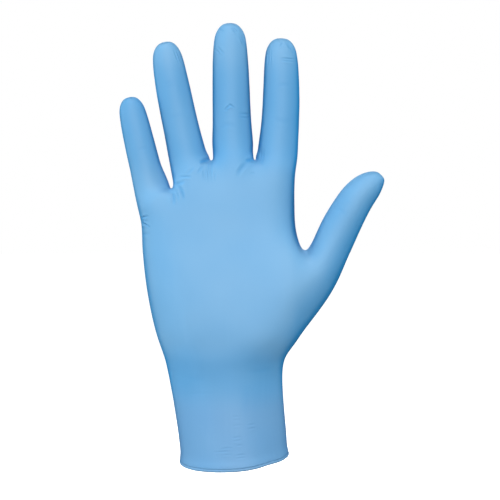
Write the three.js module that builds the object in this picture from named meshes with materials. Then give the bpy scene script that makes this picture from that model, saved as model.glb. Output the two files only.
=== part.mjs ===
// A disposable nitrile exam glove in the form that it has when worn: one dipped film with five closed
// stalls, an open cuff and a rolled bead round the cuff's edge.
// Millimetres. +Z runs up from the cuff's opening to the fingertips, the palm faces -Y, the thumb is on +X.
import * as THREE from "three";

// Film and bead
const FILM = 1.0;
const BEAD_RADIUS = 1.15;
const BEAD_STEPS = 8;

// Sizes of the arm end: rim to wrist crease, and the cuff's breadth and thickness over the film
const CUFF = { height: 47, width: 59, depth: 42 };
// How the rim slopes: it hangs lower at the palm side, and rises towards the thumb side
const RIM_SLOPE = { front: 12, thumb: 5.6 };

// Palm from the wrist crease to the highest web, its greatest thickness, and how far the knuckles' middle
// stands to the thumb side of the arm's
const PALM = { height: 114, depth: 40, shift: -10.2 };
const WEB_GAP = 1.4;

// The fingers: shaft width and depth, length from the root to the tip, lean off the vertical in degrees,
// bow to the side as a share of the width, and forward curl as a share of the length
const LITTLE = { width: 16.6, depth: 14.6, length: 56.3, lean: -13.1, bow: -0.02, curl: 0.05 };
const RING_FINGER = { width: 19.1, depth: 16.6, length: 71.5, lean: -11.4, bow: -0.04, curl: 0.06 };
const MIDDLE = { width: 20.4, depth: 17.6, length: 73.4, lean: -1.4, bow: -0.01, curl: 0.05 };
const INDEX = { width: 20.2, depth: 17.4, length: 69.8, lean: 1.9, bow: 0.07, curl: 0.05 };
// The thumb the same way. forward is how far its root's middle stands to the palm side, a share of PALM.depth
const THUMB = { width: 20.8, depth: 19, length: 76, lean: 30.7, curl: 0.12, forward: 0.05 };

// In order from the outer edge of the hand
const FINGERS = [LITTLE, RING_FINGER, MIDDLE, INDEX];

// Height of the palm's top edge as a share of its height: outer side, the three webs, index side
const KNUCKLE_LINE = [0.76, 0.895, 1.015, 1.017, 0.935];

// Where the three columns of control points of a finger stand across its root
const COLUMN_SHARES = [0.15, 0.5, 0.85];

// A finger's sections from just above its root: place along it, width and depth as shares of its own
const FINGER_SECTIONS = [
  { along: 0.08, width: 1.13, depth: 1.1 },
  { along: 0.22, width: 1.05, depth: 1.04 },
  { along: 0.42, width: 1.01, depth: 1.01 },
  { along: 0.62, width: 0.98, depth: 0.96 },
  { along: 0.79, width: 0.93, depth: 0.88 },
  { along: 0.91, width: 0.84, depth: 0.76 },
  { along: 0.985, width: 0.62, depth: 0.54 },
  { along: 1.01, width: 0.27, depth: 0.24 },
];
// How wide a finger's root is, as a share of the finger's own width
const ROOT_SHARE = 1.095;

// The thumb's sections: shift is to its outer side, turn is how far the section plane leans off its axis, and
// roll how far the side towards the index finger stands forward, as a share of the width
const THUMB_SECTIONS = [
  { along: 0.166, shift: 0.12, width: 1.32, depth: 1.6, turn: 29, roll: 0.15 },
  { along: 0.349, shift: 0.02, width: 1.1, depth: 1.22, turn: 14, roll: 0.1 },
  { along: 0.523, shift: -0.06, width: 1.03, depth: 1.06, turn: 0, roll: 0.05 },
  { along: 0.65, shift: -0.08, width: 0.96, depth: 1.0, turn: -3, roll: 0 },
  { along: 0.77, shift: -0.09, width: 0.91, depth: 0.94, turn: -1, roll: 0 },
  { along: 0.87, shift: -0.02, width: 0.82, depth: 0.84, turn: 4, roll: 0 },
  { along: 0.945, shift: 0.05, width: 0.59, depth: 0.66, turn: 9, roll: 0 },
  { along: 0.982, shift: 0.13, width: 0.36, depth: 0.44, turn: 16, roll: 0 },
  { along: 0.992, shift: 0.16, width: 0.17, depth: 0.18, turn: 16, roll: 0 },
];

// Rings of the cuff: height, sides and thickness to the palm side and to the back, as shares of CUFF.
// slope is how much of the rim's slope the ring still has
const CUFF_ROWS = [
  { up: 0.0, left: -0.51, right: 0.49, front: 0.47, back: 0.5, slope: 1 },
  { up: 0.13, left: -0.518, right: 0.49, front: 0.455, back: 0.49, slope: 0.85 },
  { up: 0.38, left: -0.547, right: 0.468, front: 0.42, back: 0.48, slope: 0.4 },
  { up: 0.66, left: -0.584, right: 0.45, front: 0.388, back: 0.46, slope: 0.12 },
  { up: 0.89, left: -0.618, right: 0.44, front: 0.405, back: 0.45, slope: 0 },
];

// Rings of the palm: height as a share of PALM.height, sides as shares of the knuckles' breadth, thickness
// as shares of PALM.depth, and how full the ring's thumb side is
const PALM_ROWS = [
  { up: 0.02, left: -0.436, right: 0.306, front: 0.455, back: 0.47, square: 1.8 },
  { up: 0.065, left: -0.452, right: 0.322, front: 0.48, back: 0.46, square: 2.1 },
  { up: 0.125, left: -0.482, right: 0.385, front: 0.5, back: 0.45, square: 2.4 },
  { up: 0.2, left: -0.517, right: 0.448, front: 0.535, back: 0.43, square: 3 },
  { up: 0.39, left: -0.566, right: 0.446, front: 0.53, back: 0.4, square: 9 },
  { up: 0.575, left: -0.588, right: 0.425, front: 0.44, back: 0.38, square: 9 },
  { up: 0.675, left: -0.593, right: 0.385, front: 0.39, back: 0.365, square: 3.6 },
  { up: 0.81, left: -0.594, right: 0.383, front: 0.36, back: 0.36, square: 2.8 },
];
// What else each of those rings has: fan is how far its columns have moved from even spacing to the finger
// roots, arch how much of the knuckle line it has, ball the rise of the thumb muscle, at where that stands
const PALM_FORMS = [
  { fan: 0.1, arch: 0, ball: 0, at: 0.7 },
  { fan: 0.2, arch: 0, ball: 0.01, at: 0.7 },
  { fan: 0.3, arch: 0, ball: 0.03, at: 0.74 },
  { fan: 0.4, arch: 0, ball: 0.05, at: 0.8 },
  { fan: 0.55, arch: 0, ball: 0.12, at: 1 },
  { fan: 0.7, arch: 0.1, ball: 0.08, at: 1 },
  { fan: 0.85, arch: 0.3, ball: 0.02, at: 0.97 },
  { fan: 0.95, arch: 0.6, ball: 0, at: 0.97 },
];
// The ring at the finger roots: thickness to the palm side and to the back as shares of PALM.depth, and how
// full it still is between two fingers and towards its two sides
const KNUCKLES = { front: 0.31, back: 0.36, between: 0.86, ends: 0.9 };
// How full the palm's rings are on the side of the little finger
const OUTER_SQUARENESS = 3;
// The arm's crest to the palm side: where it stands across the ring, how straight the film falls away from it
// to the thumb side, and up to which fan the palm still has it
const CREST = { at: 0.6, square: 1.55, fade: 0.4 };
// The thumb grows out of the palm between this row of the palm and the second one above it
const THUMB_LOW_ROW = 3;
// How wide the thumb muscle's rise is, as a share of the palm's breadth
const BALL_SPREAD = 0.22;

const COLUMNS_PER_FINGER = COLUMN_SHARES.length;
const FRONT_COLUMNS = COLUMNS_PER_FINGER * FINGERS.length;
const RING = 2 * FRONT_COLUMNS + 2;
const RIGHT_SIDE = FRONT_COLUMNS + 1;
const DIGIT_RING = 2 * COLUMNS_PER_FINGER + 2;

const radians = THREE.MathUtils.degToRad;
const mix = THREE.MathUtils.lerp;

// Smoothing draws a ring of control points in towards its centre, so the control ring is this much bigger
const ringGrowth = (count) => 6 / (4 + 2 * Math.cos((2 * Math.PI) / count));

// Where the finger roots stand side by side across the knuckles
function knuckleLayout() {
  const widths = FINGERS.map((finger) => finger.width * ROOT_SHARE);
  const breadth = widths.reduce((sum, width) => sum + width, 0) + WEB_GAP * (FINGERS.length - 1);
  let edge = PALM.shift - breadth / 2;
  const roots = widths.map((width) => {
    const root = { left: edge, right: edge + width, centre: edge + width / 2 };
    edge += width + WEB_GAP;
    return root;
  });
  return { breadth, roots };
}

const layout = knuckleLayout();
const knuckleHeight = (n) => CUFF.height + PALM.height * KNUCKLE_LINE[n];

// x of each column across the knuckles: the left side, three columns for each finger, the right side
function knuckleColumns() {
  const { roots } = layout;
  const inner = roots.flatMap(({ left, right }) => COLUMN_SHARES.map((share) => mix(left, right, share)));
  return [roots[0].left, ...inner, roots.at(-1).right];
}

// Height of each column on the knuckle line
function knuckleHeights() {
  const inner = FINGERS.flatMap((_, n) =>
    COLUMN_SHARES.map((share) => mix(knuckleHeight(n), knuckleHeight(n + 1), share)),
  );
  return [knuckleHeight(0), ...inner, knuckleHeight(FINGERS.length)];
}

const columnX = knuckleColumns();
const columnZ = knuckleHeights();

// One closed ring of control points: left side, front columns, right side, back columns
function ring(place) {
  const front = Array.from({ length: RIGHT_SIDE + 1 }, (_, column) => place(column, "front"));
  const back = Array.from({ length: FRONT_COLUMNS }, (_, n) => place(FRONT_COLUMNS - n, "back"));
  return [...front, ...back];
}

const evenShare = (column) => (1 - Math.cos((Math.PI * column) / RIGHT_SIDE)) / 2;
const knuckleShare = (column) => (columnX[column] - columnX[0]) / (columnX.at(-1) - columnX[0]);

// How deep an oval section is at a share of its breadth, for an oval that is deepest at its crest
function ovalDepth(share, squareness, crest = 0.5) {
  const off = share > crest ? (share - crest) / (1 - crest) : (crest - share) / crest;
  return (1 - off ** squareness) ** (1 / squareness);
}

function cuffRing(row) {
  const grow = ringGrowth(RING);
  return ring((column, face) => {
    const share = evenShare(column);
    const x = CUFF.width * mix(row.left, row.right, share) * grow;
    const front = ovalDepth(share, share > CREST.at ? CREST.square : 2, CREST.at);
    const y = CUFF.depth * grow * (face === "front" ? -row.front * front : row.back * ovalDepth(share, 2));
    const slope = x * Math.tan(radians(RIM_SLOPE.thumb)) + y * Math.tan(radians(RIM_SLOPE.front));
    return new THREE.Vector3(x, y, CUFF.height * row.up + row.slope * slope);
  });
}

function palmRing(row) {
  const mean = columnZ.reduce((sum, z) => sum + z, 0) / columnZ.length;
  return ring((column, face) => {
    const share = mix(evenShare(column), knuckleShare(column), row.fan);
    const x = layout.breadth * mix(row.left, row.right, share);
    const crest = face === "front" ? mix(CREST.at, 0.5, Math.min(1, row.fan / CREST.fade)) : 0.5;
    const squareness = share > crest ? row.square : mix(2, OUTER_SQUARENESS, row.fan);
    const deep = PALM.depth * ovalDepth(share, squareness, crest);
    const ball = PALM.depth * row.ball * Math.exp(-(((share - row.at) / BALL_SPREAD) ** 2));
    const side = column === 0 || column === RIGHT_SIDE;
    const y = face === "front" ? -row.front * deep - (side ? 0 : ball) : row.back * deep;
    const z = CUFF.height + PALM.height * row.up + row.arch * (columnZ[column] - mean);
    return new THREE.Vector3(x, y, z);
  });
}

function knuckleRing() {
  return ring((column, face) => {
    const side = column === 0 || column === RIGHT_SIDE;
    const middle = column % COLUMNS_PER_FINGER === 2;
    const fullness = side ? 0 : middle ? 1 : KNUCKLES.between;
    const ends = mix(KNUCKLES.ends, 1, ovalDepth(knuckleShare(column), 2));
    const deep = PALM.depth * fullness * ends;
    const y = face === "front" ? -KNUCKLES.front * deep : KNUCKLES.back * deep;
    return new THREE.Vector3(columnX[column], y, columnZ[column]);
  });
}

// A net of control points and faces that is grown ring by ring
class Net {
  points = [];
  faces = [];

  addRing(ringPoints) {
    const first = this.points.length;
    this.points.push(...ringPoints);
    return ringPoints.map((_, n) => first + n);
  }

  bridge(lower, upper, skip = () => false) {
    lower.forEach((_, n) => {
      const next = (n + 1) % lower.length;
      if (!skip(n)) this.faces.push([lower[n], lower[next], upper[next], upper[n]]);
    });
  }

  growDigit(root, sections) {
    const last = sections.reduce((below, section) => {
      const above = this.addRing(section);
      this.bridge(below, above);
      return above;
    }, root);
    this.faces.push(last);
  }
}

// The eight control points of a digit's section: outer to the left, front, right and back
function digitSection(centre, side, forward, width, depth, roll = 0) {
  const grow = ringGrowth(DIGIT_RING) / 2;
  return Array.from({ length: DIGIT_RING }, (_, n) => {
    const angle = (2 * Math.PI * n) / DIGIT_RING;
    return centre
      .clone()
      .addScaledVector(side, -Math.cos(angle) * width * grow)
      .addScaledVector(forward, (Math.sin(angle) * depth + Math.cos(angle) * width * roll) * grow);
  });
}

const FORWARD = new THREE.Vector3(0, -1, 0);
const leaning = (degrees) => new THREE.Vector3(Math.sin(radians(degrees)), 0, Math.cos(radians(degrees)));

function fingerSections(finger, root) {
  const axis = leaning(finger.lean);
  const side = new THREE.Vector3(axis.z, 0, -axis.x);
  const centreAt = (share) =>
    root
      .clone()
      .addScaledVector(axis, share * finger.length)
      .addScaledVector(side, finger.bow * finger.width * Math.sin(Math.PI * Math.min(share, 1)))
      .addScaledVector(FORWARD, finger.curl * finger.length * share ** 2);
  const step = 0.01;
  return FINGER_SECTIONS.map((section) => {
    const along = centreAt(section.along + step).sub(centreAt(section.along - step)).normalize();
    const across = side.clone().addScaledVector(along, -side.dot(along)).normalize();
    const forward = across.clone().cross(along).normalize().negate();
    if (forward.dot(FORWARD) < 0) forward.negate();
    const width = section.width * finger.width;
    return digitSection(centreAt(section.along), across, forward, width, section.depth * finger.depth);
  });
}

function thumbSections(root) {
  const axis = leaning(THUMB.lean);
  const side = new THREE.Vector3(axis.z, 0, -axis.x);
  return THUMB_SECTIONS.map((section) => {
    const centre = root
      .clone()
      .addScaledVector(axis, section.along * THUMB.length)
      .addScaledVector(side, section.shift * THUMB.width)
      .addScaledVector(FORWARD, THUMB.curl * THUMB.length * section.along);
    const along = leaning(THUMB.lean + section.turn);
    const across = new THREE.Vector3(along.z, 0, -along.x);
    const width = section.width * THUMB.width;
    const depth = section.depth * THUMB.depth;
    return digitSection(centre, across, FORWARD, width, depth, section.roll);
  });
}

// The whole control net, open only at the rim
function gloveNet() {
  const net = new Net();
  const palmRings = PALM_ROWS.map((row, n) => palmRing({ ...row, ...PALM_FORMS[n] }));
  const rows = [...CUFF_ROWS.map(cuffRing), ...palmRings, knuckleRing()];
  const rings = rows.map((row) => net.addRing(row));
  const low = CUFF_ROWS.length + THUMB_LOW_ROW;
  const atThumb = (n) => n === RIGHT_SIDE - 1 || n === RIGHT_SIDE;
  rings.slice(1).forEach((upper, n) => {
    const open = n === low || n === low + 1;
    net.bridge(rings[n], upper, (column) => open && atThumb(column));
  });

  const top = rings.at(-1);
  const front = (finger, n) => top[1 + finger * COLUMNS_PER_FINGER + n];
  const back = (finger, n) => top[RING - 1 - finger * COLUMNS_PER_FINGER - n];
  const last = COLUMNS_PER_FINGER - 1;
  const sides = FINGERS.map(() => ({ left: top[0], right: top[RIGHT_SIDE] }));
  for (let n = 0; n + 1 < FINGERS.length; n += 1) {
    const height = knuckleHeight(n + 1);
    const edges = [layout.roots[n].right, layout.roots[n + 1].left];
    const y = (net.points[front(n, last)].y + net.points[back(n, last)].y) / 2;
    const [right, left] = net.addRing(edges.map((x) => new THREE.Vector3(x, y, height)));
    sides[n].right = right;
    sides[n + 1].left = left;
    net.faces.push([front(n, last), front(n + 1, 0), left, right]);
    net.faces.push([right, left, back(n + 1, 0), back(n, last)]);
  }

  FINGERS.forEach((finger, n) => {
    const fronts = COLUMN_SHARES.map((_, k) => front(n, k));
    const backs = COLUMN_SHARES.map((_, k) => back(n, last - k));
    const root = [sides[n].left, ...fronts, sides[n].right, ...backs];
    const height = (knuckleHeight(n) + knuckleHeight(n + 1)) / 2;
    const depth = (net.points[fronts[1]].y + net.points[backs[1]].y) / 2;
    const centre = new THREE.Vector3(layout.roots[n].centre, depth, height);
    net.growDigit(root, fingerSections(finger, centre));
  });

  const [below, beside, above] = [rings[low], rings[low + 1], rings[low + 2]];
  const thumbRoot = [
    above[RIGHT_SIDE],
    above[RIGHT_SIDE - 1],
    beside[RIGHT_SIDE - 1],
    below[RIGHT_SIDE - 1],
    below[RIGHT_SIDE],
    below[RIGHT_SIDE + 1],
    beside[RIGHT_SIDE + 1],
    above[RIGHT_SIDE + 1],
  ];
  const centre = net.points[above[RIGHT_SIDE]].clone().add(net.points[below[RIGHT_SIDE]]).divideScalar(2);
  centre.y = -THUMB.forward * PALM.depth;
  net.growDigit(thumbRoot, thumbSections(centre));

  return dropUnused(net);
}

function dropUnused(net) {
  const kept = [...new Set(net.faces.flat())].sort((a, b) => a - b);
  const place = new Map(kept.map((old, n) => [old, n]));
  return {
    points: kept.map((old) => net.points[old]),
    faces: net.faces.map((face) => face.map((n) => place.get(n))),
  };
}

const average = (points) =>
  points.reduce((sum, p) => sum.add(p), new THREE.Vector3()).divideScalar(points.length);

// What meets at each point and edge of a net
function neighbours({ points, faces }) {
  const edges = new Map();
  const around = points.map(() => ({ faces: [], edges: [] }));
  faces.forEach((face, f) => {
    face.forEach((a, n) => {
      const b = face[(n + 1) % face.length];
      const key = a < b ? `${a},${b}` : `${b},${a}`;
      if (!edges.has(key)) {
        const edge = { ends: [a, b], faces: [] };
        edges.set(key, edge);
        around[a].edges.push(edge);
        around[b].edges.push(edge);
      }
      edges.get(key).faces.push(f);
      around[a].faces.push(f);
    });
  });
  return { edges, around };
}

// One round of Catmull-Clark smoothing: each face of n sides becomes n four-sided ones
function smoothed(net) {
  const { edges, around } = neighbours(net);
  const centres = net.faces.map((face) => average(face.map((n) => net.points[n])));
  const middle = (edge) => average(edge.ends.map((n) => net.points[n]));
  const points = net.points.map((point, n) => {
    const open = around[n].edges.filter((edge) => edge.faces.length === 1);
    if (open.length) return point.clone().multiplyScalar(0.5).addScaledVector(average(open.map(middle)), 0.5);
    const count = around[n].edges.length;
    return point
      .clone()
      .multiplyScalar(count - 3)
      .add(average(around[n].faces.map((f) => centres[f])))
      .addScaledVector(average(around[n].edges.map(middle)), 2)
      .divideScalar(count);
  });
  const firstCentre = points.length;
  points.push(...centres);
  const edgePoint = new Map();
  edges.forEach((edge, key) => {
    edgePoint.set(key, points.length);
    const ends = edge.ends.map((n) => net.points[n]);
    points.push(average(edge.faces.length === 1 ? ends : [...ends, ...edge.faces.map((f) => centres[f])]));
  });
  const keyOf = (a, b) => (a < b ? `${a},${b}` : `${b},${a}`);
  const faces = net.faces.flatMap((face, f) =>
    face.map((a, n) => {
      const next = face[(n + 1) % face.length];
      const before = face[(n + face.length - 1) % face.length];
      return [a, edgePoint.get(keyOf(a, next)), firstCentre + f, edgePoint.get(keyOf(before, a))];
    }),
  );
  return { points, faces };
}

// Moves the points of a net of four-sided faces onto the smooth surface that it stands for
function settled(net) {
  const { around } = neighbours(net);
  const points = net.points.map((point, n) => {
    const other = (edge) => net.points[edge.ends[0] === n ? edge.ends[1] : edge.ends[0]];
    const open = around[n].edges.filter((edge) => edge.faces.length === 1);
    if (open.length) {
      const [before, after] = open.map(other);
      return point.clone().multiplyScalar(4).add(before).add(after).divideScalar(6);
    }
    const count = around[n].edges.length;
    const moved = point.clone().multiplyScalar(count ** 2);
    around[n].edges.forEach((edge) => moved.addScaledVector(other(edge), 4));
    around[n].faces.forEach((f) => {
      const face = net.faces[f];
      moved.add(net.points[face[(face.indexOf(n) + 2) % face.length]]);
    });
    return moved.divideScalar(count * (count + 5));
  });
  return { points, faces: net.faces };
}

function normalsOf({ points, faces }) {
  const normals = points.map(() => new THREE.Vector3());
  faces.forEach((face) => {
    const [a, b, c, d] = face.map((n) => points[n]);
    const normal = c.clone().sub(a).cross(d.clone().sub(b));
    face.forEach((n) => normals[n].add(normal));
  });
  return normals.map((normal) => normal.normalize());
}

// The rim's points in order round the opening
function rimOf(net) {
  const { edges } = neighbours(net);
  const next = new Map();
  edges.forEach((edge) => {
    if (edge.faces.length === 1) next.set(edge.ends[0], edge.ends[1]);
  });
  const start = next.keys().next().value;
  const rim = [start];
  for (let n = next.get(start); n !== start; n = next.get(n)) rim.push(n);
  return rim;
}

// The film as a closed solid: the outer skin, the inner skin one film in from it, and the rolled bead that
// joins the two round the rim
function gloveGeometry() {
  const skin = settled(smoothed(gloveNet()));
  const normals = normalsOf(skin);
  const count = skin.points.length;
  const inner = skin.points.map((point, n) => point.clone().addScaledVector(normals[n], -FILM));
  const points = [...skin.points, ...inner];
  const faces = [...skin.faces, ...skin.faces.map((face) => face.map((n) => n + count).reverse())];

  const rim = rimOf(skin);
  const reach = FILM - BEAD_RADIUS;
  const drop = Math.sqrt(BEAD_RADIUS ** 2 - reach ** 2);
  const start = Math.atan2(drop, reach);
  const loops = [rim];
  for (let step = 1; step <= BEAD_STEPS; step += 1) {
    const angle = mix(start, -Math.PI, step / BEAD_STEPS);
    const loop = rim.map((n, k) => {
      const along = skin.points[rim[(k + 1) % rim.length]].clone().sub(skin.points[rim.at(k - 1)]);
      const outward = normals[n].clone().addScaledVector(along, -normals[n].dot(along) / along.lengthSq());
      outward.normalize();
      const down = outward.clone().cross(along).normalize();
      if (down.z > 0) down.negate();
      points.push(
        inner[n]
          .clone()
          .addScaledVector(outward, BEAD_RADIUS * (1 + Math.cos(angle)))
          .addScaledVector(down, drop - BEAD_RADIUS * Math.sin(angle)),
      );
      return points.length - 1;
    });
    loops.push(loop);
  }
  loops.push(rim.map((n) => n + count));
  loops.slice(1).forEach((loop, n) => {
    loop.forEach((_, k) => {
      const next = (k + 1) % loop.length;
      faces.push([loops[n][next], loops[n][k], loop[k], loop[next]]);
    });
  });

  const triangles = faces.flatMap(([a, b, c, d]) =>
    points[a].distanceTo(points[c]) < points[b].distanceTo(points[d])
      ? [a, b, c, a, c, d]
      : [a, b, d, b, c, d],
  );
  const geometry = new THREE.BufferGeometry().setFromPoints(points);
  geometry.setIndex(triangles);
  geometry.computeVertexNormals();
  return geometry;
}

const nitrile = new THREE.MeshStandardMaterial({ color: 0x7fb5e4, roughness: 0.55, metalness: 0 });
const glove = new THREE.Mesh(gloveGeometry(), nitrile);
glove.name = "glove_film";

const group = new THREE.Group();
group.add(glove);

export default group;
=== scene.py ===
"""A disposable nitrile exam glove in its worn form: the stretched film with its folds and its rolled cuff."""

import math
from typing import NamedTuple

import bmesh
import bpy
from mathutils import Matrix, Vector, noise
from mathutils.kdtree import KDTree


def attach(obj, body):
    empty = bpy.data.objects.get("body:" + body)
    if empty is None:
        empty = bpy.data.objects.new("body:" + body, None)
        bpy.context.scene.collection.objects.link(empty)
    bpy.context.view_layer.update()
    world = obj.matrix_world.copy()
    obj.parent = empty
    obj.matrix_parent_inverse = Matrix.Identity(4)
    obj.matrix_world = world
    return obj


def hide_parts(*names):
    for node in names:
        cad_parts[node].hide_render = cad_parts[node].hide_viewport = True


bl_info = {
    "name": "Nitrile Exam Glove",
    "version": (1, 0, 0),
    "blender": (4, 5, 0),
    "location": "3D View > Sidebar > Glove",
    "description": "Models a thin nitrile glove as worn, with its folds, its rolled cuff and a studio",
    "category": "Object",
}

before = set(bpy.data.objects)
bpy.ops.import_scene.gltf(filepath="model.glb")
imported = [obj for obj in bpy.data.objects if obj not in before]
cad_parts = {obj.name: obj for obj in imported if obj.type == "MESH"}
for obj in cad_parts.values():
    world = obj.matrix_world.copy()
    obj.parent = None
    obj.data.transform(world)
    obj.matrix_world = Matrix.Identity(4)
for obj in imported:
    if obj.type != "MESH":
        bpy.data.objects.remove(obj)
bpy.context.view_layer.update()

MM = 0.001
CAD_NODE = "glove_film"
BODY = "root"

# The rim lies in a plane that slopes down to the palm side and up to the thumb side
RIM_SLOPE_FRONT = math.radians(12)
RIM_SLOPE_THUMB = math.radians(5.6)
RIM_NORMAL = Vector((-math.tan(RIM_SLOPE_THUMB), -math.tan(RIM_SLOPE_FRONT), 1)).normalized()

# Points of a mesh that are closer than this are one point
MERGE = 0.001 * MM

# The film is parted from its bead this far above the rim's plane
RIM_TRIM = 0.1 * MM

# How far the cuff's edge hangs below its plane, all round and more on the thumb side, how far across that
# side begins and is full, and how high up the film gives way, in millimetres
RIM_DROOP = 1.1
RIM_DROOP_THUMB = 1.6
RIM_DROOP_THUMB_FROM = 17
RIM_DROOP_THUMB_TO = 29
RIM_DROOP_HEIGHT = 14

# How far the cuff's edge spreads outwards and how high up that starts, in millimetres
RIM_FLARE = 0.7
RIM_FLARE_HEIGHT = 5

# How far the bead's middle lies in from the film's outside and below its edge, as shares of its radius
BEAD_INSET = 0.75
BEAD_DROP = 0.5

# How far along the edge the bead's thickness wanders, and how finely its roll is rounded
BEAD_WANDER_LENGTH = 6 * MM
BEAD_ROUNDNESS = 3

# Creases up to these widths, in millimetres, have their faces split once or twice
WIDEST_SPLIT_ONCE = 1.5
WIDEST_SPLIT_TWICE = 0.7

# How far the split faces reach: along a crease, as a share of its half length, and to its side, in widths
CREASE_END = 1.1
CREASE_SIDE = 3.0

# How far to its side a crease is looked for, in widths
CREASE_SEARCH = 4

# How squarely the film faces a crease's side, palm or back, when the crease begins and is full
FACING_FROM = 0.05
FACING_TO = 0.35

# The ridge beside a crease: its height as a share of the depth, its place and its width in crease widths
RIDGE_HEIGHT = 0.45
RIDGE_OFF = 1.7
RIDGE_WIDTH = 0.9

# Lengths over which the film's broad unevenness changes, in millimetres, and the finer one's share
SWELL_COARSE = 21
SWELL_FINE = 9
SWELL_FINE_SHARE = 0.5

# How far apart the tension lines are and how long, in millimetres
TENSION_APART = 1.9
TENSION_LENGTH = 34

# The film's fine grain: its scale and detail in the noise, and its strength and height in the bump
GRAIN_SCALE = 2600
GRAIN_DETAIL = 3
GRAIN_STRENGTH = 0.12
GRAIN_HEIGHT = 0.06 * MM

# Nitrile's index of refraction
FILM_IOR = 1.5


class Crease(NamedTuple):
    """A thin fold in the film, or a few alike side by side, in millimetres and degrees from level."""

    across: float
    up: float
    turn: float
    length: float
    width: float
    depth: float
    bow: float = 0.0
    count: int = 1
    step: float = 0.0


class Web(NamedTuple):
    """The foot of the gap between two fingers, how it moves and how far that reaches, in millimetres."""

    across: float
    up: float
    lean: float
    right: float
    down: float
    squeeze: float
    reach: float
    height: float


class Tip(NamedTuple):
    """A fingertip: its top in millimetres, its lean in degrees, and how far down and how much it rounds."""

    across: float
    up: float
    lean: float
    reach: float
    squeeze: float


class Band(NamedTuple):
    """A level band: where it begins, is full, starts to fade and ends, in millimetres, and its change."""

    start: float
    full: float
    fading: float
    end: float
    change: float

    def at(self, up):
        """How strong the band is at a height, from 0 to its change."""
        rise = smoothstep(self.start, self.full, up)
        return self.change * rise * (1 - smoothstep(self.fading, self.end, up))


class Patch(NamedTuple):
    """A round patch of the glove, in millimetres, and how much it changes the stretch."""

    across: float
    up: float
    radius: float
    # A round patch of the glove, in millimetres, and how much it pales or deepens the film's colour.
    change: float

    def at(self, across, up):
        """How strong the patch is at a spot, from 0 to its change."""
        off = math.hypot(across - self.across, up - self.up)
        return self.change * math.exp(-((off / self.radius) ** 2))


class Lamp(NamedTuple):
    """A square soft light: how far round and up it stands, in degrees, and its width, in metres."""

    name: str
    side: float
    height: float
    size: float
    in_gloss: bool


WEBS = (
    Web(-35.4, 150.0, -0.27, 0.9, 1.6, 0.42, 8.0, 13.0),
    Web(-13.0, 163.6, -0.1, 0.2, 0.2, 0.45, 5.0, 5.5),
    Web(10.8, 163.6, 0.04, -0.2, 0.3, 0.6, 4.5, 4.5),
)

TIPS = (
    Tip(-58.0, 197.3, -15.6, 8.0, 0.17),
    Tip(-37.2, 226.9, -11.8, 7.0, 0.12),
    Tip(-3.8, 236.9, -1.2, 8.0, 0.13),
    Tip(24.5, 228.5, 2.3, 7.0, 0.12),
)

# How far to the side of a finger's middle its tip may lie, in millimetres
TIP_SIDE = 13.0

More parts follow.
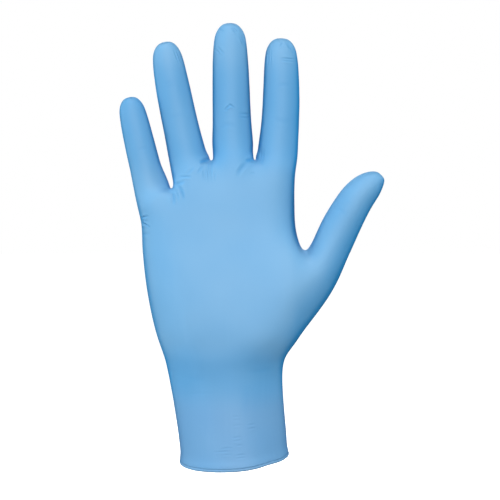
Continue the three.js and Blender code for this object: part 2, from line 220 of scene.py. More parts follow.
PALM_CREASES = (
    # Web between little and ring finger
    Crease(-29.9, 145.4, -66, 10.0, 0.8, 0.75, bow=0.9),
    Crease(-34.0, 141.8, -86, 8.0, 0.9, 0.5, bow=0.6),
    Crease(-31.8, 143.0, -78, 7.0, 0.6, 0.3, bow=0.5),
    Crease(-30.4, 150.4, 14, 7.0, 0.8, 0.62, bow=-0.5),
    Crease(-27.0, 153.5, 2, 8.0, 0.6, 0.42),
    Crease(-24.6, 156.6, 40, 7.0, 0.7, 0.26),
    # Pleats below the web of ring and middle finger
    Crease(-16.6, 155.0, 87, 9.0, 0.42, 0.2, count=2, step=1.4),
    Crease(-13.6, 156.0, 90, 13.0, 0.5, 0.26, count=2, step=1.5),
    Crease(-10.8, 153.6, 92, 7.0, 0.4, 0.18),
    Crease(-16.8, 161.6, 12, 5.5, 0.9, 0.85, bow=0.3),
    Crease(-18.8, 157.2, 52, 6.5, 0.7, 0.32),
    # Fold that runs down from the web of middle and index finger
    Crease(7.8, 162.0, 4, 5.0, 0.9, 0.9, bow=0.3),
    Crease(4.4, 157.6, 50, 11.0, 1.2, 0.5, bow=0.8),
    Crease(9.6, 155.4, 4, 3.6, 0.5, 0.24),
    Crease(14.6, 164.0, 80, 9.0, 0.5, 0.24, count=2, step=1.2),
    # Outer edge of the palm
    Crease(-49.6, 131.4, 22, 6.0, 0.6, 0.5),
    Crease(-48.8, 127.2, -28, 6.5, 0.6, 0.5),
    Crease(-49.4, 129.4, -4, 4.5, 0.5, 0.3),
    Crease(-49.0, 122.0, 8, 6.0, 0.9, 0.28),
    # Middle finger at its middle joint
    Crease(-3.8, 191.2, 37, 6.0, 0.55, 0.42),
    Crease(-1.8, 191.8, -30, 5.0, 0.5, 0.4),
    Crease(-4.6, 189.6, 6, 4.0, 0.5, 0.2),
    Crease(5.0, 186.6, -4, 7.0, 0.55, 0.28, count=2, step=1.9),
    Crease(-3.6, 180.6, 8, 10.0, 1.4, 0.2, bow=0.8),
    # Fingertips
    Crease(-8.6, 221.4, -50, 6.5, 0.6, 0.22, count=2, step=1.6),
    Crease(-7.6, 233.0, -30, 4.0, 0.5, 0.3),
    Crease(0.0, 232.8, -38, 5.0, 0.5, 0.34, count=2, step=1.3),
    Crease(4.2, 227.0, -66, 8.0, 0.5, 0.36, count=2, step=1.1),
    Crease(29.6, 223.8, -58, 6.5, 0.8, 0.5),
    Crease(31.4, 221.4, -66, 5.0, 0.6, 0.34),
    Crease(25.0, 225.0, 70, 5.0, 0.7, 0.32),
    Crease(28.6, 216.6, -3, 9.0, 0.5, 0.28, count=2, step=1.3),
    Crease(18.8, 217.8, 88, 12.0, 0.42, 0.24, count=2, step=1.2),
    Crease(-31.2, 218.8, -70, 11.0, 0.45, 0.3, count=2, step=1.2),
    Crease(-38.0, 227.0, 14, 6.0, 0.55, 0.36, count=2, step=1.3),
    Crease(-33.6, 226.0, -40, 4.5, 0.5, 0.3),
    # Index finger below its middle joint
    Crease(26.0, 202.6, 5, 9.0, 1.1, 0.18, bow=0.5),
    Crease(25.6, 184.4, -4, 11.0, 1.4, 0.2, bow=-0.8),
    # Ring and little finger
    Crease(-31.6, 186.0, 14, 10.0, 1.2, 0.13, bow=0.6),
    Crease(-35.6, 203.4, 10, 7.0, 0.9, 0.12, count=2, step=1.8),
    Crease(-50.6, 168.0, 12, 8.0, 1.0, 0.13, bow=0.5),
    # Thumb at its joint, and the crease between thumb and palm
    Crease(57.0, 134.6, -36, 9.0, 1.1, 0.13, bow=0.6),
    Crease(60.4, 140.2, -32, 7.0, 0.9, 0.1, bow=0.5),
    # Wrist
    Crease(-18.4, 35.4, 5, 17.0, 0.8, 0.07),
    Crease(6.6, 31.0, 88, 22.0, 1.8, 0.14),
    Crease(14.0, 48.6, 8, 16.0, 1.4, 0.12, bow=-0.6),
    Crease(-22.0, 44.0, -8, 12.0, 1.6, 0.1, bow=-0.6),
    # Cuff
    Crease(0.6, 22.2, 5, 5.0, 0.5, 0.08, count=2, step=1.9),
    Crease(1.2, 18.4, 9, 6.0, 0.5, 0.1),
    Crease(9.0, 17.6, 9, 5.5, 0.5, 0.16, count=2, step=2.1),
    Crease(1.0, 11.0, 11, 6.0, 0.5, 0.14, count=2, step=1.7),
    Crease(2.4, 7.6, 8, 4.5, 0.45, 0.16),
    Crease(-4.8, 5.6, 9, 8.0, 0.5, 0.2, bow=0.3),
    Crease(-7.4, 4.0, 7, 10.0, 0.5, 0.18),
    Crease(-4.0, 2.4, 7, 6.0, 0.45, 0.12),
    Crease(3.0, 1.6, 9, 7.0, 0.5, 0.14, count=2, step=1.6),
)

BACK_CREASES = (
    # Knuckle folds of the four fingers and of the thumb
    Crease(-49.4, 164.6, 12, 11.0, 0.8, 0.28, bow=0.9, count=3, step=1.9),
    Crease(-29.6, 184.6, 11, 12.0, 0.9, 0.3, bow=1.0, count=3, step=2.1),
    Crease(-2.4, 190.4, 2, 13.0, 0.9, 0.3, bow=1.1, count=3, step=2.2),
    Crease(26.6, 185.8, -3, 12.5, 0.9, 0.3, bow=1.0, count=3, step=2.1),
    Crease(58.0, 138.6, -34, 11.0, 0.9, 0.26, bow=0.9, count=3, step=2.0),
    Crease(-53.6, 181.6, 12, 8.0, 0.6, 0.18, bow=0.6, count=2, step=1.7),
    Crease(-35.0, 207.6, 11, 8.5, 0.7, 0.18, bow=0.6, count=2, step=1.8),
    Crease(-3.2, 213.6, 2, 9.0, 0.7, 0.18, bow=0.6, count=2, step=1.8),
    Crease(27.8, 208.8, -3, 9.0, 0.7, 0.18, bow=0.6, count=2, step=1.8),
    # Tension folds that fan out from the webs
    Crease(-32.6, 143.0, 70, 12.0, 0.9, 0.26, count=2, step=2.2),
    Crease(-15.2, 152.0, 86, 13.0, 0.9, 0.26, count=3, step=2.2),
    Crease(8.2, 152.0, 96, 13.0, 0.9, 0.26, count=2, step=2.2),
    # Wrist and cuff
    Crease(-4.0, 47.0, 4, 30.0, 1.5, 0.3, bow=1.2, count=2, step=4.6),
    Crease(10.0, 56.0, 14, 20.0, 1.3, 0.22, bow=0.8),
    Crease(-10.0, 24.0, -4, 16.0, 0.7, 0.18, count=2, step=2.4),
    Crease(6.0, 10.0, 3, 12.0, 0.6, 0.18, count=3, step=1.8),
)

# How stretched the film is over the palm, from 0 to 1, and what changes that elsewhere, painted shade and
# painted highlight among it
PALM_STRETCH = 0.88
STRETCH_BANDS = (
    # Cuff and wrist together, the wrist once more, and the fingers between their roots and tips
    Band(-30, -20, 50, 66, -0.12),
    Band(24, 40, 50, 66, -0.16),
    Band(150, 168, 206, 222, -0.22),
)
STRETCH_AND_HIGHLIGHT_PATCHES = (
    # Ball of the thumb, paler from stretched film and a painted highlight, and the thumb's own length
    Patch(38, 92, 22, 0.12),
    Patch(58, 128, 14, -0.14),
)
# Painted shade in the folds
FOLD_PAINTED_SHADE = -0.4
# Painted highlight on the bead, which is made paler than the film
BEAD_PAINTED_HIGHLIGHT = 0.24

# The stretch wanders by this much over this length, in millimetres
MOTTLE_STRETCH = 0.08
MOTTLE_LENGTH = 15

# Painted shade, a deeper colour, where the film faces sideways, or downwards above the cuff: the change, how
# squarely it faces there when that begins and is full, and the heights between which facing down comes to
# count
FLANK_PAINTED_SHADE = -0.6
FLANK_FROM = 0.76
FLANK_TO = 0.99
UNDERSIDE_FROM = 20
UNDERSIDE_TO = 40

# The same painted shade on the thumb's outer flank: the change, the way it faces, how squarely, and from how
# far across
THUMB_FLANK_PAINTED_SHADE = -0.55
THUMB_FLANK_WAY = Vector((0.8, 0, -0.6))
THUMB_FLANK_FROM = 0.15
THUMB_FLANK_TO = 0.9
THUMB_ACROSS_FROM = 22
THUMB_ACROSS_TO = 36

# Where and how much the cuff's duller colour shows, and how much more on its flanks as painted shade, as a
# share of that
DULL_CUFF = Band(-30, -20, 22, 42, 0.35)
CUFF_FLANK_PAINTED_SHADE = 1.0

# Middle of the glove as the camera sees it, in metres
VIEW_MIDDLE = Vector((0.00817, 0, 0.11291))

# How far the lamps stand from there, in metres
LIGHT_DISTANCE = 1.8

LAMPS = (
    Lamp("front", -2, 6, 1.3, True),
    Lamp("upper", -2, 38, 1.1, True),
    Lamp("top", 0, 70, 1.0, True),
    Lamp("low", -8, -38, 1.0, True),
    Lamp("left", -80, 5, 1.0, False),
    Lamp("right", 80, 5, 1.0, False),
    Lamp("back", 180, 25, 1.4, False),
)

# The floor is a white disc: its radius and its level below the origin, in metres, its sides and its finish
FLOOR_RADIUS = 6.0
FLOOR_LEVEL = -0.32
FLOOR_SIDES = 96
FLOOR_WHITE = 0.9
FLOOR_ROUGHNESS = 0.9
FLOOR_GLOW = 0.9

WHITE = (1, 1, 1, 1)

# Width of the camera's sensor, in millimetres
SENSOR_WIDTH = 36


def millimetres(name, description, default):
    """A length that a user sets, given in millimetres."""
    return bpy.props.FloatProperty(
        name=name, description=description, default=default * MM, min=0.0, precision=5, unit="LENGTH"
    )


def colour(name, description, default):
    """A colour that a user sets."""
    return bpy.props.FloatVectorProperty(
        name=name, description=description, default=default, size=3, min=0.0, max=1.0, subtype="COLOR"
    )


def power(name, description, default):
    """A lamp's power in watts."""
    return bpy.props.FloatProperty(
        name=name, description=description, default=default, min=0.0, unit="POWER"
    )


def fraction(name, description, default):
    """A number between 0 and 1 that a user sets."""
    return bpy.props.FloatProperty(
        name=name, description=description, default=default, min=0.0, max=1.0, subtype="FACTOR"
    )


class FilmSettings(bpy.types.PropertyGroup):
    """Sizes and colours of the glove."""

    thickness: millimetres("Film thickness", "From the outer skin to the inner one", 1.1)
    bead: millimetres("Bead radius", "Radius of the roll round the cuff's edge", 1.05)
    bead_wander: fraction("Bead unevenness", "How much the roll's radius varies along the edge", 0.07)
    crease_strength: fraction("Creases", "How deep the folds are against their table", 0.8)
    swell: millimetres("Swell", "How far the film's broad unevenness moves it", 0.14)
    tension: millimetres("Tension lines", "Height of the fine lines along the fingers and hand", 0.035)
    # The relaxed film's colour, which also serves as the painted shade on the flanks and in the folds
    blue: colour("Film colour", "Colour of the relaxed film", (0.01, 0.25, 0.58))
    # The stretched film's colour, which also serves as the painted highlight on the ball of the thumb and on
    # the bead
    stretched_blue: colour("Stretched colour", "Paler colour of the stretched film", (0.158, 0.387, 0.637))
    # The cuff's duller colour, which also paints shade on the cuff's flanks
    cuff_blue: colour("Cuff colour", "Duller colour of the slack cuff", (0.13, 0.262, 0.475))
    roughness: fraction("Roughness", "How satin the film is", 0.55)
    gloss: fraction("Gloss", "How strongly the film reflects", 0.6)


class StudioSettings(bpy.types.PropertyGroup):
    """Light and camera."""

    front_power: power("Front light", "Power of the large light behind the camera", 17.0)
    upper_power: power("Upper light", "Power of the large light in front and above", 7.0)
    top_power: power("Top light", "Power of the light overhead", 11.0)
    low_power: power("Low light", "Power of the large light in front and below", 7.5)
    left_power: power("Left light", "Power of the light on the left", 18.5)
    right_power: power("Right light", "Power of the light on the right", 13.0)
    back_power: power("Back light", "Power of the large light behind the glove", 30.0)
    surround: fraction("Surround", "Strength of the even light from all round", 0.24)
    surround_gloss: fraction("Surround in gloss", "Strength of the even light in the film's gloss", 0.06)
    camera_distance: bpy.props.FloatProperty(
        name="Camera distance",
        description="From the camera to the glove",
        default=0.9,
        min=0.1,
        unit="LENGTH",
    )
    camera_tilt: bpy.props.FloatProperty(
        name="Camera tilt",
        description="How far the camera looks down",
        default=math.radians(4),
        subtype="ANGLE",
    )
    lens: bpy.props.FloatProperty(
        name="Lens", description="Focal length in millimetres", default=117.67, min=20.0
    )


def put_mesh(name, mesh, material):
    """Adds a mesh object at the origin, with one material."""
    mesh.materials.clear()
    mesh.materials.append(material)
    piece = bpy.data.objects.new(name, mesh)
    bpy.context.scene.collection.objects.link(piece)
    return piece


def mesh_from(shape, name):
    """Turns a bmesh into a mesh."""
    mesh = bpy.data.meshes.new(name)
    shape.to_mesh(mesh)
    shape.free()
    return mesh


def keep_reached(shape, start):
    """Deletes all that isn't joined to the start vertex."""
    reached = {start}
    waiting = [start]
    while waiting:
        vert = waiting.pop()
        for edge in vert.link_edges:
            other = edge.other_vert(vert)
            if other not in reached:
                reached.add(other)
                waiting.append(other)
    bmesh.ops.delete(shape, geom=[v for v in shape.verts if v not in reached], context="VERTS")


def outer_skin():
    """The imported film's outer skin in four-sided faces, open at the rim."""
    skin = bmesh.new()
    skin.from_mesh(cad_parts[CAD_NODE].data)
    bmesh.ops.remove_doubles(skin, verts=skin.verts, dist=MERGE)
    bmesh.ops.join_triangles(
        skin,
        faces=skin.faces,
        angle_face_threshold=math.pi,
        angle_shape_threshold=math.pi,
        topology_influence=1.0,
    )
    bmesh.ops.bisect_plane(
        skin,
        geom=[*skin.verts, *skin.edges, *skin.faces],
        dist=MERGE,
        plane_co=RIM_NORMAL * RIM_TRIM,
        plane_no=RIM_NORMAL,
        clear_inner=True,
    )
    keep_reached(skin, max(skin.verts, key=lambda vert: vert.co.z))
    return mesh_from(skin, "skin_cage")


def subdivided(mesh):
    """The mesh after one round of smooth subdivision."""
    carrier = bpy.data.objects.new("carrier", mesh)
    bpy.context.scene.collection.objects.link(carrier)
    rounds = carrier.modifiers.new("Smooth", "SUBSURF")
    rounds.levels = 1
    rounds.render_levels = 1
    graph = bpy.context.evaluated_depsgraph_get()
    finer = bpy.data.meshes.new_from_object(carrier.evaluated_get(graph))
    bpy.data.objects.remove(carrier)
    return finer


def subdivided_through(mesh, rounds=3):
    """One round of smooth subdivision that still passes through the points of the mesh."""
    wanted = [vert.co.copy() for vert in mesh.vertices]
    for _ in range(rounds):
        finer = subdivided(mesh)
        for n, place in enumerate(wanted):
            mesh.vertices[n].co += place - finer.vertices[n].co
    return subdivided(mesh)


def smoothstep(low, high, value):
    """0 below low, 1 above high and smooth between."""
    share = min(max((value - low) / (high - low), 0.0), 1.0)
    return share * share * (3 - 2 * share)


def pinch_webs(mesh):
    """Draws the gaps between the fingers to a narrow foot."""
    for vert in mesh.vertices:
        for web in WEBS:
            high = vert.co.z / MM - web.up
            right = vert.co.x / MM - web.across - web.lean * high
            share = math.hypot(right / web.reach, high / web.height)
            if share < 1:
                pull = (1 - share**2) ** 2
                vert.co.x += pull * (web.right - web.squeeze * right) * MM
                vert.co.z -= pull * web.down * MM


def droop(place):
    """How far the cuff's edge hangs below its plane at a place, in metres: most on the thumb side."""
    near = 1 - smoothstep(0, RIM_DROOP_HEIGHT, place.dot(RIM_NORMAL) / MM)
    thumb_side = smoothstep(RIM_DROOP_THUMB_FROM, RIM_DROOP_THUMB_TO, place.x / MM)
    return (RIM_DROOP + RIM_DROOP_THUMB * thumb_side) * near * MM


def loosen_rim(mesh):
    """Brings the cuff's edge onto its plane, then lets it spread and hang a little unevenly."""
    shape = bmesh.new()
    shape.from_mesh(mesh)
    for vert in shape.verts:
        if vert.is_boundary:
            vert.co -= RIM_NORMAL * vert.co.dot(RIM_NORMAL)
        spread = 1 - smoothstep(0, RIM_FLARE_HEIGHT, vert.co.dot(RIM_NORMAL) / MM)
        outward = Vector((vert.co.x, vert.co.y, 0)).normalized()
        vert.co += outward * (RIM_FLARE * spread * MM)
        vert.co.z -= droop(vert.co)
    shape.to_mesh(mesh)
    shape.free()


def round_tips(mesh):
    """Narrows the fingertips towards their tops."""
    for vert in mesh.vertices:
        for tip in TIPS:
            lean = math.radians(tip.lean)
            right, high = vert.co.x / MM - tip.across, vert.co.z / MM - tip.up
            share = 1 + (right * math.sin(lean) + high * math.cos(lean)) / tip.reach
            off = right * math.cos(lean) - high * math.sin(lean)
            if share > 0 and abs(off) < TIP_SIDE:
                inward = tip.squeeze * share**2 * off * MM
                vert.co.x -= inward * math.cos(lean)
                vert.co.z += inward * math.sin(lean)


def crease_spot(crease, across, up):
    """Where a spot lies on a crease, as a share of its half length, and how far off its nearest fold."""
    turn = math.radians(crease.turn)
    right, high = across - crease.across, up - crease.up
    along = right * math.cos(turn) + high * math.sin(turn)
    off = high * math.cos(turn) - right * math.sin(turn)
    share = 2 * abs(along) / crease.length
    off -= crease.bow * (1 - min(share, 1.0) ** 2)
    first = -crease.step * (crease.count - 1) / 2
    return share, min(abs(off - first - crease.step * n) for n in range(crease.count))


def crease_lift(crease, across, up):
    """How far a crease lifts the film at a spot, in millimetres."""
    share, off = crease_spot(crease, across, up)
    if share >= 1:
        return 0.0
    valley = math.exp(-((off / crease.width) ** 2))
    ridge = math.exp(-(((off / crease.width - RIDGE_OFF) / RIDGE_WIDTH) ** 2))
    return crease.depth * (RIDGE_HEIGHT * ridge - valley) * (1 - share**2) ** 1.5


def creased_spots(places, normals):
    """Yields each crease with the number of a spot that it may reach and how well the spot faces it."""
    tree = KDTree(len(places))
    for n, place in enumerate(places):
        tree.insert((place.x, 0, place.z), n)
    tree.balance()
    for creases, facing in ((PALM_CREASES, -1), (BACK_CREASES, 1)):
        for crease in creases:
            reach = crease.length / 2 + crease.step * crease.count + CREASE_SEARCH * crease.width
            for _, n, _ in tree.find_range((crease.across, 0, crease.up), reach):
                faced = smoothstep(FACING_FROM, FACING_TO, facing * normals[n].y)
                if faced > 0:
                    yield crease, n, faced


def split_near_creases(shape, widest):
    """Splits the faces near the creases that are no wider than the given width."""
    faces = shape.faces[:]
    places = [face.calc_center_median() / MM for face in faces]
    chosen = set()
    for crease, n, _ in creased_spots(places, [face.normal for face in faces]):
        share, off = crease_spot(crease, places[n].x, places[n].z)
        if crease.width <= widest and share < CREASE_END and off < CREASE_SIDE * crease.width:
            chosen.add(faces[n])
    edges = [edge for edge in shape.edges if any(face in chosen for face in edge.link_faces)]
    bmesh.ops.subdivide_edges(shape, edges=edges, cuts=1, use_grid_fill=True)


def finer_at_creases(mesh):
    """The mesh with more faces where creases run."""
    shape = bmesh.new()
    shape.from_mesh(mesh)
    split_near_creases(shape, WIDEST_SPLIT_ONCE)
    shape.normal_update()
    split_near_creases(shape, WIDEST_SPLIT_TWICE)
    return mesh_from(shape, "creased_skin")


def fold_film(mesh, settings):
    """Presses the creases and the film's soft unevenness into the skin."""
    count = len(mesh.vertices)
    normals = [Vector(mesh.vertex_normals[n].vector) for n in range(count)]
    places = [mesh.vertices[n].co / MM for n in range(count)]
    lift = [0.0] * count
    for crease, n, faced in creased_spots(places, normals):
        lift[n] += faced * crease_lift(crease, places[n].x, places[n].z) * settings.crease_strength
    for n, place in enumerate(places):
        broad = noise.noise(place / SWELL_COARSE) + SWELL_FINE_SHARE * noise.noise(place / SWELL_FINE)
        lines = noise.noise(
            Vector((place.x / TENSION_APART, place.y / TENSION_APART, place.z / TENSION_LENGTH))
        )
        lift[n] += (settings.swell * broad + settings.tension * lines) / MM
        mesh.vertices[n].co += normals[n] * (lift[n] * MM)


def flank_shade_of(normal, place):
    """How squarely the film faces sideways, or downwards above the cuff, from 0 to 1: the share of painted
    shade there.
    """
    under = min(normal.z, 0.0) * smoothstep(UNDERSIDE_FROM, UNDERSIDE_TO, place.z)
    return smoothstep(FLANK_FROM, FLANK_TO, math.hypot(normal.x, under))


def thumb_flank_shade_of(normal, place):
    """How squarely the film faces the thumb's outer side, from 0 to 1: the share of painted shade there."""
    facing = smoothstep(THUMB_FLANK_FROM, THUMB_FLANK_TO, normal.dot(THUMB_FLANK_WAY))
    return facing * smoothstep(THUMB_ACROSS_FROM, THUMB_ACROSS_TO, place.x)


def paint_stretch_and_light(mesh, more=0.0):
    """Marks how far the film is stretched, with painted shade in its folds and on its flanks and a painted
    highlight on the ball of the thumb and the bead, and how dull it is, with painted shade on the cuff's
    flanks.
    """
    count = len(mesh.vertices)
    normals = [Vector(mesh.vertex_normals[n].vector) for n in range(count)]
    places = [vert.co / MM for vert in mesh.vertices]
    # Painted shade in the folds, deepest along the middle of each crease
    painted_fold_shade = [0.0] * count
    for crease, n, faced in creased_spots(places, normals):
        share, off = crease_spot(crease, places[n].x, places[n].z)
        fold = faced * crease.depth * math.exp(-((off / crease.width) ** 2)) * max(1 - share**2, 0.0)
        painted_fold_shade[n] = max(painted_fold_shade[n], fold)
    stretch = mesh.attributes.new("stretch", "FLOAT", "POINT")
    dull = mesh.attributes.new("dull", "FLOAT", "POINT")
    for n, place in enumerate(places):
        flank_shade = flank_shade_of(normals[n], place)
        # The extra amount, when given, is the bead's painted highlight
        taut_and_painted_light = PALM_STRETCH + more
        taut_and_painted_light += sum(band.at(place.z) for band in STRETCH_BANDS)
        taut_and_painted_light += sum(patch.at(place.x, place.z) for patch in STRETCH_AND_HIGHLIGHT_PATCHES)
        taut_and_painted_light += MOTTLE_STRETCH * noise.noise(place / MOTTLE_LENGTH)
        # Painted shade on the flanks and on the thumb's outer flank
        taut_and_painted_light += FLANK_PAINTED_SHADE * flank_shade + THUMB_FLANK_PAINTED_SHADE * thumb_flank_shade_of(normals[n], place)
        # Painted shade in the folds
        taut_and_painted_light += FOLD_PAINTED_SHADE * painted_fold_shade[n]
        stretch.data[n].value = min(max(taut_and_painted_light, 0.0), 1.0)
        dull.data[n].value = DULL_CUFF.at(place.z) * (1 + CUFF_FLANK_PAINTED_SHADE * flank_shade)


def facing_out(mesh):
    """Turns the faces of an open skin so that they point away from the hollow."""
    shape = bmesh.new()
    shape.from_mesh(mesh)
    bmesh.ops.recalc_face_normals(shape, faces=shape.faces)
    if max(shape.faces, key=lambda face: face.calc_center_median().z).normal.z < 0:
        bmesh.ops.reverse_faces(shape, faces=shape.faces)
    shape.to_mesh(mesh)
    shape.free()


def with_inner_skin(outer, inner, thickness):
    """Sets the inner skin in by the thickness and joins it to the outer one round the rim."""
    shape = bmesh.new()
    shape.from_mesh(inner)
    shape.normal_update()
    for vert in shape.verts:
        vert.co -= vert.normal * thickness
    bmesh.ops.reverse_faces(shape, faces=shape.faces)
    shape.from_mesh(outer)
    bmesh.ops.bridge_loops(shape, edges=[edge for edge in shape.edges if edge.is_boundary])
    for face in shape.faces:
        face.smooth = True
    return mesh_from(shape, "film_skin")


def rim_loop(mesh, inset):
    """The loop of points round the opening, moved in from the film's outside."""
    shape = bmesh.new()
    shape.from_mesh(mesh)
    shape.normal_update()
    start = next(vert for vert in shape.verts if vert.is_boundary)
    loop = [start]
    while True:
        ahead = [e.other_vert(loop[-1]) for e in loop[-1].link_edges if e.is_boundary]
        onward = [vert for vert in ahead if vert not in loop[-2:]]
        if not onward or onward[0] is start:
            break
        loop.append(onward[0])
    places = [vert.co - vert.normal * inset for vert in loop]
    shape.free()
    return places


def worn_skins():
    """The film's skin as worn, still without creases: coarse for the inside and fine for the outside."""
    inner = subdivided_through(outer_skin())
    facing_out(inner)
    pinch_webs(inner)
    round_tips(inner)
    loosen_rim(inner)
    return inner, subdivided_through(inner.copy())


def roll_along(rim, settings):
    """The mesh of the bead: a round tube just below the rim, of slightly uneven thickness."""
    roll = bpy.data.curves.new("roll", "CURVE")
    roll.dimensions = "3D"
    roll.bevel_depth = settings.bead
    roll.bevel_resolution = BEAD_ROUNDNESS
    roll.use_fill_caps = False
    path = roll.splines.new("POLY")
    path.points.add(len(rim) - 1)
    path.use_cyclic_u = True
    for n, place in enumerate(rim):
        path.points[n].co = (*(place - RIM_NORMAL * BEAD_DROP * settings.bead), 1.0)
        path.points[n].radius = 1 + settings.bead_wander * noise.noise(place / BEAD_WANDER_LENGTH)
    carrier = bpy.data.objects.new("carrier", roll)
    mesh = bpy.data.meshes.new_from_object(carrier)
    bpy.data.objects.remove(carrier)
    for face in mesh.polygons:
        face.use_smooth = True
    return mesh


def film_material(settings):
    """Satin nitrile with a fine grain: paler where it is stretched and duller on the slack cuff, with painted
    shade on its flanks and in its folds and a painted highlight on the ball of the thumb and the bead.
    """
    material = bpy.data.materials.new("nitrile")
    material.use_nodes = True
    nodes, links = material.node_tree.nodes, material.node_tree.links
    shader = nodes["Principled BSDF"]
    shader.inputs["Roughness"].default_value = settings.roughness
    shader.inputs["IOR"].default_value = FILM_IOR
    shader.inputs["Specular IOR Level"].default_value = settings.gloss

    # The stretch attribute also carries painted shade and painted highlight
    stretch = nodes.new("ShaderNodeAttribute")
    stretch.attribute_name = "stretch"
    mix = nodes.new("ShaderNodeMix")
    mix.data_type = "RGBA"
    mix.inputs["A"].default_value = (*settings.blue, 1)
    mix.inputs["B"].default_value = (*settings.stretched_blue, 1)
    links.new(stretch.outputs["Fac"], mix.inputs["Factor"])
    dull = nodes.new("ShaderNodeAttribute")
    dull.attribute_name = "dull"
    cuff = nodes.new("ShaderNodeMix")
    cuff.data_type = "RGBA"
    cuff.inputs["B"].default_value = (*settings.cuff_blue, 1)
    links.new(dull.outputs["Fac"], cuff.inputs["Factor"])
    links.new(mix.outputs["Result"], cuff.inputs["A"])
    links.new(cuff.outputs["Result"], shader.inputs["Base Color"])

    place = nodes.new("ShaderNodeTexCoord")
    grain = nodes.new("ShaderNodeTexNoise")
    grain.inputs["Scale"].default_value = GRAIN_SCALE
    grain.inputs["Detail"].default_value = GRAIN_DETAIL
    links.new(place.outputs["Object"], grain.inputs["Vector"])
    bump = nodes.new("ShaderNodeBump")
    bump.inputs["Strength"].default_value = GRAIN_STRENGTH
    bump.inputs["Distance"].default_value = GRAIN_HEIGHT
    links.new(grain.outputs["Fac"], bump.inputs["Height"])
    links.new(bump.outputs["Normal"], shader.inputs["Normal"])
    return material


class GLOVE_OT_film(bpy.types.Operator):
    """Models the film of the glove with its folds, outside and inside"""

    bl_idname = "glove.film"
    bl_label = "Film"

    def execute(self, context):
        settings = context.scene.glove_film
        inner, outer = worn_skins()
        outer = finer_at_creases(outer)
        fold_film(outer, settings)
        skin = with_inner_skin(outer, inner, settings.thickness)
        paint_stretch_and_light(skin)
        film = put_mesh("film_skin", skin, film_material(settings))
        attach(film, BODY)
        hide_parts(CAD_NODE)
        return {"FINISHED"}


class GLOVE_OT_bead(bpy.types.Operator):
    """Models the rolled bead along the cuff's edge"""

    bl_idname = "glove.bead"
    bl_label = "Bead"

    def execute(self, context):
        settings = context.scene.glove_film
        outer = worn_skins()[1]
        mesh = roll_along(rim_loop(outer, BEAD_INSET * settings.bead), settings)
        paint_stretch_and_light(mesh, BEAD_PAINTED_HIGHLIGHT)
        bead = put_mesh("cuff_bead", mesh, film_material(settings))
        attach(bead, BODY)
        return {"FINISHED"}


def aim(thing, place, target):
    """Puts a light or the camera at a place and turns it to its target."""
    way = (target - place).to_track_quat("-Z", "Y")
    thing.matrix_world = Matrix.Translation(place) @ way.to_matrix().to_4x4()


def soft_light(lamp, watts):
    """Adds one lamp of the table, turned to the middle of the glove."""
    light = bpy.data.lights.new(lamp.name, "AREA")
    light.size = lamp.size
    light.energy = watts
    piece = bpy.data.objects.new(lamp.name, light)
    piece.visible_camera = False
    piece.visible_glossy = lamp.in_gloss
    bpy.context.scene.collection.objects.link(piece)
    side, height = math.radians(lamp.side), math.radians(lamp.height)
    level = math.cos(height)
    way = Vector((math.sin(side) * level, -math.cos(side) * level, math.sin(height)))
    aim(piece, VIEW_MIDDLE + way * LIGHT_DISTANCE, VIEW_MIDDLE)


def white_floor():
    """Adds the white floor, which throws no light on the glove."""
    shape = bmesh.new()
    bmesh.ops.create_circle(shape, cap_ends=True, segments=FLOOR_SIDES, radius=FLOOR_RADIUS)
    bmesh.ops.translate(shape, verts=shape.verts, vec=(0, 0, FLOOR_LEVEL))
    paper = bpy.data.materials.new("white_paper")
    paper.use_nodes = True
    shader = paper.node_tree.nodes["Principled BSDF"]
    shader.inputs["Base Color"].default_value = (FLOOR_WHITE, FLOOR_WHITE, FLOOR_WHITE, 1)
    shader.inputs["Roughness"].default_value = FLOOR_ROUGHNESS
    shader.inputs["Emission Color"].default_value = WHITE
    shader.inputs["Emission Strength"].default_value = FLOOR_GLOW
    floor = put_mesh("floor", mesh_from(shape, "floor"), paper)
    floor.visible_diffuse = False
    floor.visible_glossy = False


def surround_light(settings):
    """Sets the world: white to the camera, and an even light that is weaker in the film's gloss."""
    world = bpy.data.worlds.new("studio")
    world.use_nodes = True
    bpy.context.scene.world = world
    nodes, links = world.node_tree.nodes, world.node_tree.links
    seen = nodes.new("ShaderNodeLightPath")
    around = nodes["Background"]
    reflected = nodes.new("ShaderNodeBackground")
    backdrop = nodes.new("ShaderNodeBackground")
    strengths = ((around, settings.surround), (reflected, settings.surround_gloss), (backdrop, 1.0))
    for light, strength in strengths:
        light.inputs["Color"].default_value = WHITE
        light.inputs["Strength"].default_value = strength
    by_gloss = nodes.new("ShaderNodeMixShader")
    links.new(seen.outputs["Is Glossy Ray"], by_gloss.inputs[0])
    links.new(around.outputs["Background"], by_gloss.inputs[1])
    links.new(reflected.outputs["Background"], by_gloss.inputs[2])
    by_camera = nodes.new("ShaderNodeMixShader")
    links.new(seen.outputs["Is Camera Ray"], by_camera.inputs[0])
    links.new(by_gloss.outputs["Shader"], by_camera.inputs[1])
    links.new(backdrop.outputs["Background"], by_camera.inputs[2])
    links.new(by_camera.outputs["Shader"], nodes["World Output"].inputs["Surface"])


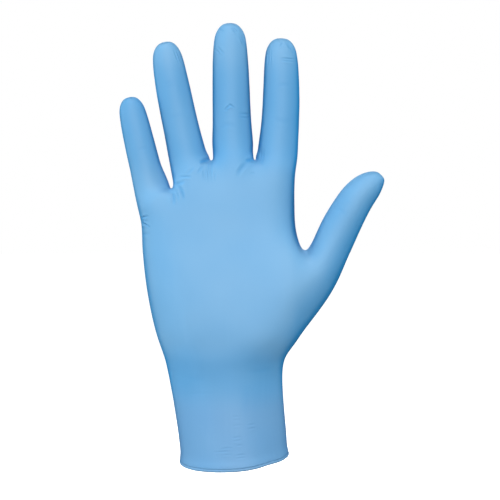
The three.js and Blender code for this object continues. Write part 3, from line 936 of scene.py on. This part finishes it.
def photograph_camera(settings):
    """Adds the camera, in front of the palm and looking a little down."""
    lens = bpy.data.cameras.new("camera")
    lens.lens = settings.lens
    lens.sensor_width = SENSOR_WIDTH
    camera = bpy.data.objects.new("camera", lens)
    bpy.context.scene.collection.objects.link(camera)
    tilt = settings.camera_tilt
    back = Vector((0, -math.cos(tilt), math.sin(tilt)))
    aim(camera, VIEW_MIDDLE + back * settings.camera_distance, VIEW_MIDDLE)
    bpy.context.scene.camera = camera


class GLOVE_OT_stage(bpy.types.Operator):
    """Adds the white floor, the soft studio light and the camera"""

    bl_idname = "glove.stage"
    bl_label = "Studio"

    def execute(self, context):
        settings = context.scene.glove_studio
        white_floor()
        for lamp in LAMPS:
            soft_light(lamp, getattr(settings, lamp.name + "_power"))
        surround_light(settings)
        photograph_camera(settings)
        context.scene.view_settings.view_transform = "Standard"
        return {"FINISHED"}


class GLOVE_PT_panel(bpy.types.Panel):
    """Lists the glove's pieces and their sizes"""

    bl_label = "Exam glove"
    bl_space_type = "VIEW_3D"
    bl_region_type = "UI"
    bl_category = "Glove"

    def draw(self, context):
        scene = context.scene
        for operator in OPERATORS:
            self.layout.operator(operator.bl_idname)
        for settings in (scene.glove_film, scene.glove_studio):
            for name in settings.bl_rna.properties.keys():
                if name not in {"rna_type", "name"}:
                    self.layout.prop(settings, name)


OPERATORS = (GLOVE_OT_film, GLOVE_OT_bead, GLOVE_OT_stage)
CLASSES = (FilmSettings, StudioSettings, *OPERATORS, GLOVE_PT_panel)


def register():
    """Adds the classes and the scene's settings."""
    for cls in CLASSES:
        bpy.utils.register_class(cls)
    bpy.types.Scene.glove_film = bpy.props.PointerProperty(type=FilmSettings)
    bpy.types.Scene.glove_studio = bpy.props.PointerProperty(type=StudioSettings)


def unregister():
    """Takes them away again."""
    del bpy.types.Scene.glove_studio
    del bpy.types.Scene.glove_film
    for cls in reversed(CLASSES):
        bpy.utils.unregister_class(cls)


def main():
    """Builds the glove and its studio."""
    register()
    bpy.ops.glove.film()
    bpy.ops.glove.bead()
    bpy.ops.glove.stage()


if __name__ == "__main__":
    main()
